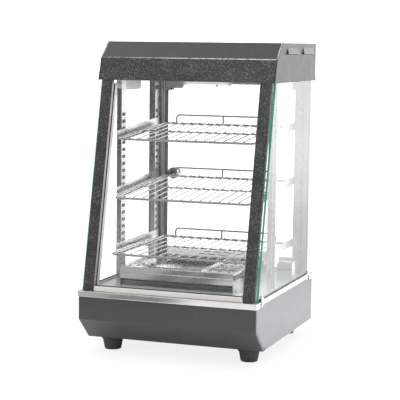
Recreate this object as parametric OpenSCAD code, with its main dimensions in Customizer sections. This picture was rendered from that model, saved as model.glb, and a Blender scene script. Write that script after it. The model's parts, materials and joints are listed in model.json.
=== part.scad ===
// Countertop hot food display case: a dark sheet-metal base on rubber feet, a polished deck,
// a glass cabinet with a leaning front, three wire shelves over a heater box, and a dark hood.
// Millimetres. +X is the customer's right, -Y is the customer side, +Z is up.
// The origin is on the surface the case stands on, under the middle of its bounding box.

/* [Overall] */
// Width across the base
base_w = 458; // [440:2:480]
// Depth of the base, front to back
base_d = 493; // [480:1:510]
// Height of the rubber feet
foot_h = 35; // [30:1:45]
// Height of the base box above its feet
base_h = 112; // [100:1:120]
// Height of the glass cabinet, from the top of the base to the hood
cabinet_h = 529; // [525:1:535]
// Height of the hood
hood_h = 96; // [90:1:100]

/* [Base] */
// Thickness of the painted sheet
sheet_t = 1.2; // [1:0.1:1.5]
// Depth of the sloping chamfer under the front
chamfer_d = 60; // [40:1:70]
// Height of the sloping chamfer under the front
chamfer_h = 55; // [40:1:60]
// Distance of the front feet from the middle of the width
foot_x = 181; // [160:1:190]
// Distance of the rear feet from the middle of the width
rear_foot_x = 171; // [160:1:190]
// Distance of the front feet behind the base front
foot_front = 102; // [90:1:120]
// Distance of the rear feet behind the base front
foot_rear = 452; // [400:1:455]

/* [Deck] */
// Height of the polished trim around the top of the base
trim_h = 14; // [13:0.5:15]
// How far the trim stands proud of the base
trim_proud = 3; // [2:0.5:3]

/* [Glass] */
// Thickness of the glass panes
glass_t = 5; // [4:1:5]
// Lean of the front, from upright
front_lean = 12.5; // [12:0.1:12.8]
// Width of a front post
post_w = 28; // [24:1:30]

/* [Shelves] */
// Half of the width of a wire shelf
shelf_half_w = 179.5; // [176:0.5:180]
// Diameter of the frame wire
frame_wire_d = 6; // [5:0.5:6]
// Diameter of the thin wires
thin_wire_d = 3; // [2.5:0.5:3]
// Distance between the thin wires
wire_pitch = 25; // [24:0.5:26]
// Height of the guard at the back of a shelf
guard_h = 23.5; // [18:0.5:24]
// Distance between the slots of a shelf upright
slot_pitch = 18; // [18:1:18]
// Slots by which the two upper shelves rise to the back
tilt_slots = 1; // [0:1:1]

/* [Rear door] */
// Half of the width of the glass door
door_half_w = 186; // [180:1:187]
// Diameter of the door knob
knob_d = 30; // [26:1:32]

/* [Hidden] */

$fn = 48;

// Places along the depth, measured from the middle of the whole case
knob_reach = 21;
front_y = trim_proud - (trim_proud + base_d + knob_reach) / 2;
back_y = front_y + base_d;
half_w = base_w / 2;

// Heights
deck_z = foot_h + base_h;
floor_z = deck_z + trim_h;
hood_z = deck_z + cabinet_h;
top_z = hood_z + hood_h;

// Deck trim
trim_x = half_w + 2;
trim_t = 1;
wrap_d = 27;
rear_wrap_d = 460;
side_trim_y = front_y + 36;
lip_foot_z = deck_z + 5;
lip_top_z = deck_z + 17.5;
upstand_z = floor_z + 5;

// Glass
side_glass_out = half_w - 1;
side_glass_in = side_glass_out - glass_t;
glass_gap = 0.4;

// The leaning plane of the front posts: its foot, and what lies behind it
lean_y = front_y + 5.2;
post_out = 221;
post_in = post_out - post_w;
post_d = 11;
front_glass_w = 2 * (post_out - sheet_t) - 1.6;
post_return = 2.6;
lean_len = (hood_z - floor_z) / cos(front_lean);
rail_top = 13.4;
rail_foot = 0.13;

// Rear posts
rear_post_y = front_y + 450;
rear_post_d = 24;
rear_post_in = 189;

// Hood outline, measured from the base front
hood_foot_d = 117.8;
hood_fold_d = 133.5;
hood_fold_h = 56;
hood_top_d = 176;
hood_back_d = 482.3;
hood_half_w = 230.8;
cheek_gap = 2;
ceiling_z = hood_z + sheet_t;

// Shelf uprights
upright_in = 195.6;
upright_d = 13;
upright_w = 30.6;
upright_t = 1.2;
upright_front_y = front_y + 184.1;
upright_rear_y = front_y + 414;
slot_w = 22;
slot_h = 9;
pip_d = 4;
slot_count = 23;
first_slot_z = floor_z + 30;

// Shelves: distance of the rear frame wire and depth of each shelf
shelf_rear_y = front_y + 438;
upper_shelf_d = 310;
middle_shelf_d = 340;
lower_shelf_d = 356;
upper_shelf_z = 552.6;
middle_shelf_z = 409.6;
lower_shelf_z = 243.5;
tilt = atan(tilt_slots * slot_pitch / (upright_rear_y - upright_front_y));
support_t = 1.2;
support_h = 21;
support_in = 172;
support_front_y = front_y + 152;
support_rear_y = front_y + 446;
corner_r = 12;
guard_wire_d = 4.5;
guard_half_w = 142;
guard_leg_x = -9;
guard_bend = 9;
weld = 0.6;

// Heater box
heater_half_w = 147.5;
heater_front_y = front_y + 68;
heater_rear_y = front_y + 404;
heater_top_z = 217.2;
heater_lip = 15;
pan_half_w = 62;
pan_front_y = front_y + 75;
pan_rear_y = front_y + 270;
element_z = 181;
element_d = 8;

// Rear door
door_y = front_y + 467;
door_axis_x = 178;
door_bottom_z = floor_z + 18;
door_top_z = hood_z - 5;
door_rail_y = front_y + 453;
knob_x = -161;
knob_z = 415.5;
pin_d = 6;
clamp_w = 40;
clamp_h = 24;
clamp_t = 4;

// Rear controls: height of their row and their places across the back
control_z = deck_z - 50;
thermostat_x = -130;
power_x = -40;
light_x = 5;
lamp_x = 50;
gland_x = 150;
gland_z = 70;
rocker_w = 22;
rocker_h = 15;
rocker_tilt = 8;
rocker_pivot_y = back_y - 2;
pivot_d = 3;

// ---------------------------------------------------------------- helpers

function unit(v) = v / norm(v);
function left_of(v) = [-v.y, v.x];
function reversed(list) = [for (i = [len(list) - 1:-1:0]) list[i]];

// One side of a bent strip: the path moved sideways by s, with bends of radius r
function bent_side(path, s, r, steps = 4) = [
    for (i = [0:len(path) - 1]) each
        i == 0 ? [path[0] + s * left_of(unit(path[1] - path[0]))] :
        i == len(path) - 1 ? [path[i] + s * left_of(unit(path[i] - path[i - 1]))] :
        let (u = unit(path[i] - path[i - 1]),
             v = unit(path[i + 1] - path[i]),
             turn = atan2(u.x * v.y - u.y * v.x, u * v),
             way = sign(turn),
             start = path[i] - r * tan(abs(turn) / 2) * u,
             centre = start + way * r * left_of(u),
             a = atan2(-way * left_of(u).y, -way * left_of(u).x))
        [for (k = [0:steps])
            centre + (r - way * s) * [cos(a + turn * k / steps), sin(a + turn * k / steps)]]
];

// Outline of a bent sheet: the path is its outer face, and t is its thickness to the left
function bent_sheet(path, t, r) = concat(bent_side(path, 0, r), reversed(bent_side(path, t, r)));

// Extrude a Y-Z outline along X
module along_x(x0, x1) {
    translate([x0, 0, 0]) rotate([90, 0, 90]) linear_extrude(x1 - x0) children();
}

// Extrude an X-Z outline along Y
module along_y(y0, y1) {
    translate([0, y1, 0]) rotate([90, 0, 0]) linear_extrude(y1 - y0) children();
}

// A box from its two corners
module block(low, high) {
    translate(low) cube(high - low);
}

// The piece and its mirror image across the middle of the width
module both_sides() {
    children();
    mirror([1, 0, 0]) children();
}

// Local frame of the leaning front: Z runs up the slope and Y runs straight in
module on_slope() {
    translate([0, lean_y, floor_z]) rotate([-front_lean, 0, 0]) children();
}

// Keep only what lies between two heights
module between_heights(z0, z1) {
    intersection() {
        children();
        block([-half_w - 20, front_y - 20, z0], [half_w + 20, back_y + 20, z1]);
    }
}

// A slot with round ends, cut through along X, centred at the origin
module slot_x(w, h, depth) {
    rotate([0, 90, 0]) {
        translate([0, -(w - h) / 2, -depth / 2]) cylinder(d = h, h = depth);
        translate([0, (w - h) / 2, -depth / 2]) cylinder(d = h, h = depth);
    }
    cube([depth, w - h, h], center = true);
}

// A slot with round ends, cut through along Z, centred at the origin, long way along X
module slot_z(w, h, depth) {
    translate([-(w - h) / 2, 0, -depth / 2]) cylinder(d = h, h = depth);
    translate([(w - h) / 2, 0, -depth / 2]) cylinder(d = h, h = depth);
    cube([w - h, h, depth], center = true);
}

// A slot with round ends, cut through along Y, centred at the origin, long way along X
module slot_y(w, h, depth) {
    rotate([90, 0, 0]) slot_z(w, h, depth);
}

// A cross-headed pan screw head; its flat side faces -Z
module screw_head(d, h) {
    difference() {
        intersection() {
            cylinder(d = d, h = h);
            translate([0, 0, h - d]) sphere(d = 2 * d);
        }
        translate([0, 0, h]) cube([d * 0.55, d * 0.12, h], center = true);
        translate([0, 0, h]) cube([d * 0.12, d * 0.55, h], center = true);
    }
}

// ---------------------------------------------------------------- base

// Dark sheet across the front, folded under as a chamfer, with a narrow return at each end
module base_front_panel() {
    face = [[front_y, deck_z], [front_y, foot_h + chamfer_h],
            [front_y + chamfer_d, foot_h], [front_y + chamfer_d + 16, foot_h]];
    return_w = 8;
    color([0.13, 0.13, 0.14]) {
        along_x(-half_w, half_w) polygon(bent_sheet(face, sheet_t, 3));
        for (x = [-half_w, half_w - sheet_t])
            along_x(x, x + sheet_t)
                polygon(concat(bent_side(face, 0, 3),
                               reversed(bent_side(face, return_w, return_w + 0.5))));
    }
}

// One side of the base, between the front panel's return and the rear panel
module base_side() {
    slope = atan2(chamfer_h, chamfer_d);
    gap = 0.3;
    start = 8 + gap;
    outline = [[front_y + start, deck_z],
               [back_y - sheet_t, deck_z],
               [back_y - sheet_t, foot_h + sheet_t],
               [front_y + chamfer_d + 16 + gap, foot_h + sheet_t],
               [front_y + chamfer_d + 16 + gap, foot_h + start],
               [front_y + chamfer_d + start * tan(slope / 2), foot_h + start],
               [front_y + start, foot_h + chamfer_h + start * tan(45 - slope / 2)]];
    along_x(half_w - sheet_t, half_w) polygon(outline);
    // the sheet rises behind the lip of the side trim
    block([half_w - sheet_t, side_trim_y + gap, deck_z - 1],
          [half_w, rear_post_y - 2 * gap, lip_foot_z + 1]);
    // inward flange under the deck, for the trim's screws
    block([half_w - 16, front_y + start, deck_z - sheet_t],
          [half_w - sheet_t, back_y - sheet_t, deck_z]);
}

module base_side_right() {
    color([0.62, 0.61, 0.64]) base_side();
}

module base_side_left() {
    color([0.62, 0.61, 0.64]) mirror([1, 0, 0]) base_side();
}

module base_rear_panel() {
    color([0.13, 0.13, 0.14]) difference() {
        union() {
            block([-half_w, back_y - sheet_t, foot_h], [half_w, back_y, deck_z]);
            block([-half_w + 17, back_y - 15, deck_z - sheet_t],
                  [half_w - 17, back_y - sheet_t, deck_z]);
        }
        translate([thermostat_x, back_y, control_z]) rotate([90, 0, 0])
            cylinder(d = 10, h = 10, center = true);
        for (x = [power_x, light_x])
            translate([x, back_y, control_z]) cube([rocker_w + 5, 10, rocker_h + 13], center = true);
        translate([lamp_x, back_y, control_z]) rotate([90, 0, 0])
            cylinder(d = 12, h = 10, center = true);
        translate([gland_x, back_y, gland_z]) rotate([90, 0, 0])
            cylinder(d = 20, h = 10, center = true);
        for (i = [0:5])
            translate([110 + 14 * i, back_y, deck_z - 32]) rotate([0, 90, 0]) slot_y(34, 5, 10);
        for (i = [0:5])
            translate([-54 + 14 * i, back_y, foot_h + 22]) rotate([0, 90, 0]) slot_y(26, 5, 10);
    }
}

module base_bottom_plate() {
    y0 = front_y + chamfer_d + 17;
    y1 = back_y - sheet_t;
    color([0.55, 0.56, 0.58]) difference() {
        block([-half_w, y0, foot_h], [half_w, y1, foot_h + sheet_t]);
        foot_places() cylinder(d = 6.4, h = 10, center = true);
        for (i = [0:8], x = [-90, 90])
            translate([x, y0 + 90 + 18 * i, foot_h]) slot_z(90, 6, 10);
    }
}

// The four places under the base where a foot is screwed on
module foot_places() {
    both_sides() {
        translate([foot_x, front_y + foot_front, foot_h]) children();
        translate([rear_foot_x, front_y + foot_rear, foot_h]) children();
    }
}

module feet() {
    color([0.05, 0.05, 0.05]) foot_places() difference() {
        rotate_extrude()
            polygon([[0, -foot_h], [19.5, -foot_h], [21, -foot_h + 1.5],
                     [25.5, -11], [28, -9], [28.5, -7], [28.5, 0], [0, 0]]);
        translate([0, 0, -foot_h - 1]) cylinder(d = 14, h = foot_h - 5);
        cylinder(d = 6.4, h = 30, center = true);
    }
}

// Screws: one up through each foot, and the visible ones on the panels
module screws() {
    color([0.75, 0.75, 0.77]) {
        foot_places() {
            translate([0, 0, -6]) mirror([0, 0, 1]) screw_head(11, 4);
            translate([0, 0, -6]) cylinder(d = 5, h = 6 + sheet_t + 6);
        }
        for (x = [-half_w + 14, half_w - 14], z = [foot_h + 12, deck_z - 14])
            translate([x, back_y, z]) rotate([-90, 0, 0]) screw_head(8, 2.4);
        for (x = [-205, 205], z = [hood_z + 14, top_z - 16])
            translate([x, front_y + hood_back_d, z]) rotate([-90, 0, 0]) screw_head(8, 2.4);
        both_sides() for (d = [90, 370])
            translate([heater_half_w, front_y + d, floor_z + 9]) rotate([0, 90, 0])
                screw_head(7, 2);
    }
}

// ---------------------------------------------------------------- deck

// Polished strip round the front of the base; it wraps a short way along both sides
module front_trim() {
    plan = [[-trim_x, front_y + wrap_d], [-trim_x, front_y - trim_proud],
            [trim_x, front_y - trim_proud], [trim_x, front_y + wrap_d]];
    color([0.8, 0.8, 0.79]) {
        translate([0, 0, deck_z]) linear_extrude(trim_h) polygon(bent_sheet(plan, trim_t, 2));
        translate([0, 0, floor_z - trim_t]) linear_extrude(trim_t) polygon(bent_side(plan, 0, 2));
    }
}

// The same strip round the back; its ledge carries the corner posts
module rear_trim() {
    y1 = back_y + trim_proud;
    plan = [[trim_x, front_y + rear_wrap_d], [trim_x, y1], [-trim_x, y1], [-trim_x, front_y + rear_wrap_d]];
    color([0.8, 0.8, 0.79]) {
        translate([0, 0, deck_z]) linear_extrude(trim_h) polygon(bent_sheet(plan, trim_t, 2));
        translate([0, 0, floor_z - trim_t]) linear_extrude(trim_t) polygon(bent_side(plan, 0, 2));
        block([-trim_x, door_rail_y, floor_z - trim_t], [trim_x, front_y + rear_wrap_d + 0.1, floor_z]);
    }
}

// Deck strip along one side: an outer lip, a groove for the glass and an inner upstand
module side_trim() {
    y0 = side_trim_y;
    y1 = rear_post_y - 0.2;
    tab_x = half_w + 0.2;
    along_y(y0, y1) polygon([
        [trim_x, lip_foot_z], [trim_x, lip_top_z], [trim_x - trim_t, lip_top_z],
        [trim_x - trim_t, floor_z], [side_glass_in - 2, floor_z],
        [side_glass_in - 2, upstand_z], [side_glass_in - 3, upstand_z],
        [side_glass_in - 3, floor_z - trim_t], [trim_x - trim_t, floor_z - trim_t],
        [trim_x - trim_t, lip_foot_z]]);
    // pointed tab at the front end and a square one at the back
    along_x(tab_x, trim_x) {
        polygon([[y0, deck_z], [y0 + 9, deck_z], [y0 + 20, lip_foot_z + 1], [y0 + 20, lip_top_z],
                 [y0 + 8, lip_top_z + 9], [y0 + 4, lip_top_z + 11], [y0, lip_top_z + 4]]);
        polygon([[y1 - 7, deck_z], [y1, deck_z], [y1, lip_top_z + 8], [y1 - 3, lip_top_z + 8]]);
    }
}

module side_trim_right() {
    color([0.8, 0.8, 0.79]) side_trim();
}

module side_trim_left() {
    color([0.8, 0.8, 0.79]) mirror([1, 0, 0]) side_trim();
}

// Stainless floor of the cabinet
module floor_pan() {
    x = side_glass_in - 3;
    color([0.85, 0.86, 0.87]) difference() {
        block([-x, front_y + wrap_d, floor_z - trim_t], [x, door_rail_y, floor_z]);
        for (x = [-100, 100])
            translate([x, heater_rear_y - 30, floor_z]) cylinder(d = 14, h = 10, center = true);
    }
}

// ---------------------------------------------------------------- front

// Bright channel along the foot of the front glass; its lower flange lies flat on the deck
module front_rail() {
    x = post_in - 2;
    flange_d = post_d - 1;
    color([0.86, 0.86, 0.83]) on_slope()
        along_x(-x, x) polygon(bent_sheet([[post_d, rail_top], [0.5, rail_top], [0.5, rail_foot],
                                           [flange_d, rail_foot + (flange_d - 0.5) * tan(front_lean)]],
                                          sheet_t, 1.8));
}

// Black rubber lip between the front rail and the glass
module front_glass_seal() {
    color([0.06, 0.06, 0.07]) on_slope()
        along_x(-post_in + 0.3, post_in - 0.3)
            polygon([[4, rail_top], [post_d, rail_top], [post_d, rail_top + 2.6],
                     [5.5, rail_top + 2.6], [4, rail_top + 1.4]]);
}

module front_glass() {
    x = front_glass_w / 2;
    color([0.75, 0.9, 0.85, 0.3])
        between_heights(floor_z + 1.5, hood_z - 1) on_slope()
            block([-x, post_d + glass_gap, -10], [x, post_d + glass_gap + glass_t, lean_len + 10]);
}

// Black sheet post that covers one upright edge of the front glass
module front_post() {
    plan = [[post_in, post_d], [post_in, 0], [post_out, 0], [post_out, post_d + post_return]];
    between_heights(floor_z, hood_z) on_slope() translate([0, 0, -10])
        linear_extrude(lean_len + 20) polygon(bent_sheet(plan, sheet_t, 2));
}

module front_post_right() {
    color([0.12, 0.12, 0.12]) front_post();
}

module front_post_left() {
    color([0.12, 0.12, 0.12]) mirror([1, 0, 0]) front_post();
}

// ---------------------------------------------------------------- sides

// Side pane: its front edge leans with the posts and its back edge is upright
module side_glass() {
    setback = 14;
    z0 = floor_z + 1;
    z1 = hood_z - 0.5;
    foot = lean_y + setback / cos(front_lean) + (z0 - floor_z) * tan(front_lean);
    top = lean_y + setback / cos(front_lean) + (z1 - floor_z) * tan(front_lean);
    along_x(side_glass_in, side_glass_out)
        polygon([[foot, z0], [rear_post_y - 0.4, z0], [rear_post_y - 0.4, z1], [top, z1]]);
}

module side_glass_right() {
    color([0.75, 0.9, 0.85, 0.3]) side_glass();
}

module side_glass_left() {
    color([0.75, 0.9, 0.85, 0.3]) mirror([1, 0, 0]) side_glass();
}

// Rubber strips that bed the side panes in the deck grooves, with plugs between the trim pieces
module side_glass_seals() {
    y0 = side_trim_y + 0.1;
    y1 = rear_post_y - 0.4;
    top = floor_z + 4.8;
    color([0.08, 0.1, 0.1]) both_sides() {
        block([side_glass_in - 2, y0, floor_z], [side_glass_in, y1, top]);
        difference() {
            block([side_glass_out, front_y + wrap_d + 0.2, deck_z],
                  [trim_x - trim_t, y1, top]);
            block([side_glass_out - 1, side_trim_y - 0.2, deck_z - 1],
                  [trim_x, y1 + 1, floor_z]);
            block([side_glass_out + 0.5, side_trim_y - 0.2, deck_z - 1],
                  [trim_x, side_trim_y + 20.2, top + 1]);
            block([side_glass_out + 0.5, y1 - 7.2, deck_z - 1], [trim_x, y1 + 1, top + 1]);
        }
        block([side_glass_out, front_y + wrap_d + 0.2, deck_z],
              [trim_x - 0.1, side_trim_y - 0.2, top]);
        block([side_glass_out, rear_post_y + 0.3, deck_z],
              [trim_x - 0.1, front_y + rear_wrap_d - 0.2, floor_z - trim_t - 0.1]);
    }
}

// Stainless corner post beside the door
module rear_post() {
    y1 = rear_post_y + rear_post_d;
    plan = [[rear_post_in, y1 - 0.01], [rear_post_in, rear_post_y], [side_glass_out, rear_post_y],
            [side_glass_out, y1], [rear_post_in + 4, y1]];
    translate([0, 0, floor_z]) linear_extrude(hood_z - floor_z)
        polygon(bent_sheet(plan, sheet_t, 2));
}

module rear_post_right() {
    color([0.72, 0.73, 0.75]) rear_post();
}

module rear_post_left() {
    color([0.72, 0.73, 0.75]) mirror([1, 0, 0]) rear_post();
}

// ---------------------------------------------------------------- hood

// Front edge of the hood in side view, from its foot over the fold to its top
function hood_front_path() =
    [[front_y + hood_foot_d, hood_z], [front_y + hood_fold_d, hood_z + hood_fold_h],
     [front_y + hood_top_d, top_z]];

// Dark sheet across the front of the hood, folded along a line and turned in at the bottom
module hood_front() {
    path = concat([[front_y + hood_foot_d + 34, hood_z]], hood_front_path(),
                  [[front_y + hood_top_d + 20, top_z]]);
    x = hood_half_w - sheet_t - cheek_gap;
    color([0.12, 0.12, 0.12]) along_x(-x, x) polygon(bent_sheet(path, -sheet_t, 2));
}

// Outline of a hood cheek in side view
function cheek_outline() =
    [[front_y + hood_foot_d, hood_z], [front_y + hood_back_d, hood_z],
     [front_y + hood_back_d, top_z], [front_y + hood_top_d, top_z],
     [front_y + hood_fold_d, hood_z + hood_fold_h]];

// One raised louvre: flush at its top edge, open along its bottom edge
module louvre() {
    w = 102;
    h = 15.5;
    out = 7;
    along_x(0, out) polygon([[-w / 2, -h / 2], [w / 2, -h / 2], [w / 2 - 8, h / 2], [-w / 2 + 8, h / 2]]);
}

// Place of the two louvres on a cheek
module louvre_places() {
    for (d = [262, 403])
        translate([hood_half_w, front_y + d, top_z - 19.5]) children();
}

// Wedge shape that trims a louvre to a slope, thickest at its bottom edge
module louvre_wedge(inset) {
    translate([-1, 0, 0]) along_y(-60, 60)
        polygon([[0, -8.75 - inset * 2], [6.5 - inset, -8.75 - inset * 2], [1 - inset, 9], [0, 9]]);
}

module hood_cheek() {
    flange_w = 9;
    difference() {
        union() {
            along_x(hood_half_w - sheet_t, hood_half_w) polygon(cheek_outline());
            // front flange, just behind the front sheet
            between_heights(hood_z + 1.5, top_z - 1.5)
                along_x(hood_half_w - flange_w, hood_half_w - sheet_t)
                    polygon(concat(bent_side(hood_front_path(), -sheet_t - 0.4, 4),
                                   reversed(bent_side(hood_front_path(), -2 * sheet_t - 0.4, 4))));
            louvre_places() intersection() {
                translate([-0.5, 0, 0]) louvre();
                louvre_wedge(0);
            }
            // bottom flange that rests on the side glass and posts
            block([hood_half_w - flange_w, front_y + hood_foot_d + 36, hood_z],
                  [hood_half_w - sheet_t, front_y + hood_back_d - sheet_t - 0.3, hood_z + sheet_t]);
        }
        louvre_places() intersection() {
            translate([-3, 0, -0.8]) scale([1, 0.96, 1]) louvre();
            translate([-2, 0, -1]) louvre_wedge(-0.1);
        }
    }
}

module hood_cheek_right() {
    color([0.5, 0.5, 0.49]) hood_cheek();
}

module hood_cheek_left() {
    color([0.5, 0.5, 0.49]) mirror([1, 0, 0]) hood_cheek();
}

module hood_top() {
    x = hood_half_w - sheet_t;
    y0 = front_y + hood_top_d + 20.3;
    y1 = front_y + hood_back_d - sheet_t;
    color([0.12, 0.12, 0.12]) difference() {
        block([-x, y0, top_z - sheet_t], [x, y1, top_z]);
        for (i = [0:9], x = [-80, 80])
            translate([x, y0 + 120 + 12 * i, top_z]) slot_z(110, 4, 10);
    }
}

module hood_rear() {
    x = hood_half_w - sheet_t;
    y1 = front_y + hood_back_d;
    color([0.12, 0.12, 0.12]) difference() {
        union() {
            block([-x, y1 - sheet_t, hood_z], [x, y1, top_z]);
            block([-x + 10, y1 - 10, hood_z], [x - 10, y1 - sheet_t, hood_z + sheet_t]);
        }
        for (i = [0:13])
            translate([-91 + 14 * i, y1, hood_z + hood_h / 2]) rotate([0, 90, 0])
                slot_y(40, 5, 10);
    }
}

// Stainless ceiling of the cabinet
module ceiling_panel() {
    x = side_glass_in - 4;
    color([0.8, 0.81, 0.82]) difference() {
        block([-x, front_y + hood_foot_d + 8, ceiling_z],
              [x, front_y + hood_back_d - 12, ceiling_z + 1]);
        for (x = [-48, 48])
            translate([x, front_y + 300, ceiling_z]) cylinder(d = 7, h = 10, center = true);
    }
}

// ---------------------------------------------------------------- shelf uprights

// Slotted stainless channel; its web faces the middle of the cabinet
module upright(y0) {
    y1 = y0 + upright_w;
    plan = [[upright_in + upright_d, y0], [upright_in, y0], [upright_in, y1],
            [upright_in + upright_d, y1]];
    difference() {
        translate([0, 0, floor_z]) linear_extrude(ceiling_z - floor_z)
            polygon(bent_sheet(plan, -upright_t, 1.6));
        for (i = [0:slot_count - 1])
            translate([upright_in, (y0 + y1) / 2, first_slot_z + slot_pitch * i])
                slot_x(slot_w, slot_h, 8);
        for (i = [0:slot_count - 2])
            translate([upright_in, (y0 + y1) / 2, first_slot_z + slot_pitch * (i + 0.5)])
                rotate([0, 90, 0]) cylinder(d = pip_d, h = 8, center = true);
    }
}

module uprights() {
    color([0.75, 0.75, 0.73]) both_sides() {
        upright(upright_front_y);
        upright(upright_rear_y);
    }
}

// Ceiling brackets that hold the uprights: a plate along each side, a clip and a thumb screw
module upright_brackets() {
    y0 = front_y + 216;
    y1 = front_y + 341;
    x = upright_in + upright_d;
    z0 = hood_z - 28;
    clip_y = upright_front_y - 0.2;
    color([0.82, 0.82, 0.8]) both_sides() {
        along_x(x - 1.2, x)
            polygon([[y0, ceiling_z], [y0, z0 + 9], [y0 + 3, z0 + 3], [y0 + 9, z0], [y1 - 9, z0],
                     [y1 - 3, z0 + 3], [y1, z0 + 9], [y1, ceiling_z]]);
        block([upright_in, clip_y - 1.2, hood_z - 23], [x, clip_y, ceiling_z]);
        translate([upright_in + upright_d / 2, clip_y - 1.2, hood_z - 12])
            rotate([90, 0, 0]) wing_screw();
    }
}

// Thumb screw with two wings
module wing_screw() {
    cylinder(d = 7, h = 4);
    for (a = [0, 180])
        rotate([0, 0, a + 25]) translate([2, -1, 1]) cube([7, 2, 4]);
}

// ---------------------------------------------------------------- shelves

// Local frame of a shelf: its rear frame wire, with Y along its depth
module shelf_frame(z, slope) {
    translate([0, shelf_rear_y, z]) rotate([slope, 0, 0]) children();
}

// Pair of angle strips that carry a shelf; each hooks into the slots of two uprights
module shelf_supports(z, slope) {
    y0 = support_front_y - shelf_rear_y;
    y1 = support_rear_y - shelf_rear_y;
    z0 = -frame_wire_d / 2 - support_t;
    color([0.78, 0.78, 0.77]) both_sides() {
        shelf_frame(z, slope) along_y(y0, y1)
            polygon(bent_sheet([[upright_in - 0.1, z0 + support_h], [upright_in - 0.1, z0],
                                [support_in, z0]], -support_t, 1.8));
        for (y = [upright_front_y, upright_rear_y])
            shelf_hook(y + upright_w / 2, z + (y + upright_w / 2 - shelf_rear_y) * tan(slope));
    }
}

// Small tongue that passes through the nearest slot of an upright
module shelf_hook(y, z) {
    n = round((z + 5 - first_slot_z) / slot_pitch);
    slot_z = first_slot_z + slot_pitch * n;
    block([upright_in - 0.6, y - 6, slot_z - 3], [upright_in + 4, y + 6, slot_z + 2.5]);
}

module upper_shelf_supports() {
    shelf_supports(upper_shelf_z, tilt);
}

module middle_shelf_supports() {
    shelf_supports(middle_shelf_z, tilt);
}

module lower_shelf_supports() {
    shelf_supports(lower_shelf_z, 0);
}

// A straight round wire between two points
module wire(a, b, d) {
    v = b - a;
    translate(a) rotate([0, acos(v.z / norm(v)), atan2(v.y, v.x)]) cylinder(d = d, h = norm(v));
}

// A quarter bend of wire, turning from +X to +Y round the origin
module wire_bend(r, d) {
    rotate_extrude(angle = 90) translate([r, 0]) circle(d = d);
}

// Wire shelf: a round-cornered frame, one cross wire, thin wires front to back, a rear guard
module wire_shelf(z, depth, slope) {
    hw = shelf_half_w - frame_wire_d / 2;
    rise = frame_wire_d / 2 + thin_wire_d / 2 - weld;
    wires = floor((hw - 8) / wire_pitch);
    color([0.82, 0.82, 0.8]) shelf_frame(z, slope) {
        for (y = [0, -depth])
            wire([-hw + corner_r, y, 0], [hw - corner_r, y, 0], frame_wire_d);
        for (x = [-hw, hw])
            wire([x, -depth + corner_r, 0], [x, -corner_r, 0], frame_wire_d);
        for (q = [[1, 0, 0], [-1, 0, 90], [-1, 1, 180], [1, 1, 270]])
            translate([q[0] * (hw - corner_r), q[1] == 0 ? -corner_r : -depth + corner_r, 0])
                rotate([0, 0, q[2]]) wire_bend(corner_r, frame_wire_d);
        wire([-hw, -depth / 2, 0], [hw, -depth / 2, 0], guard_wire_d);
        for (i = [-wires:wires])
            wire([i * wire_pitch, -depth - 1, rise], [i * wire_pitch, 1, rise], thin_wire_d);
        rear_guard();
    }
}

// Low rail along the back of a shelf, on two bent ends and one leg
module rear_guard() {
    top = guard_h;
    wire([-guard_half_w + guard_bend, 0, top], [guard_half_w - guard_bend, 0, top], guard_wire_d);
    for (s = [-1, 1]) {
        wire([s * guard_half_w, 0, 0], [s * guard_half_w, 0, top - guard_bend], guard_wire_d);
        translate([s * (guard_half_w - guard_bend), 0, top - guard_bend])
            rotate([90, 0, 0]) rotate([0, 0, s > 0 ? 0 : 90]) wire_bend(guard_bend, guard_wire_d);
    }
    wire([guard_leg_x, 0, 0], [guard_leg_x, 0, top], guard_wire_d);
}

module upper_shelf() {
    wire_shelf(upper_shelf_z, upper_shelf_d, tilt);
}

module middle_shelf() {
    wire_shelf(middle_shelf_z, middle_shelf_d, tilt);
}

module lower_shelf() {
    wire_shelf(lower_shelf_z, lower_shelf_d, 0);
}

// ---------------------------------------------------------------- heater

// Low tray on the floor that reflects heat and carries the element's clips
module heater_housing() {
    x = heater_half_w - 6;
    y0 = heater_front_y + 16;
    y1 = heater_rear_y - 8;
    wall = 9;
    color([0.7, 0.71, 0.72]) {
        difference() {
            block([-x, y0, floor_z], [x, y1, floor_z + wall]);
            block([-x + 1, y0 + 1, floor_z + 1], [x - 1, y1 - 1, floor_z + wall + 1]);
            for (x = [-100, 100])
                translate([x, heater_rear_y - 30, floor_z]) cylinder(d = 14, h = 10, center = true);
        }
        for (x = [-100, -30, 30, 100], y = [heater_front_y + 90, heater_front_y + 180])
            difference() {
                block([x - 7, y - 1, floor_z + 1], [x + 7, y + 1, element_z]);
                translate([x, y, element_z]) rotate([90, 0, 0])
                    cylinder(d = element_d + 0.2, h = 10, center = true);
            }
    }
}

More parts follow.
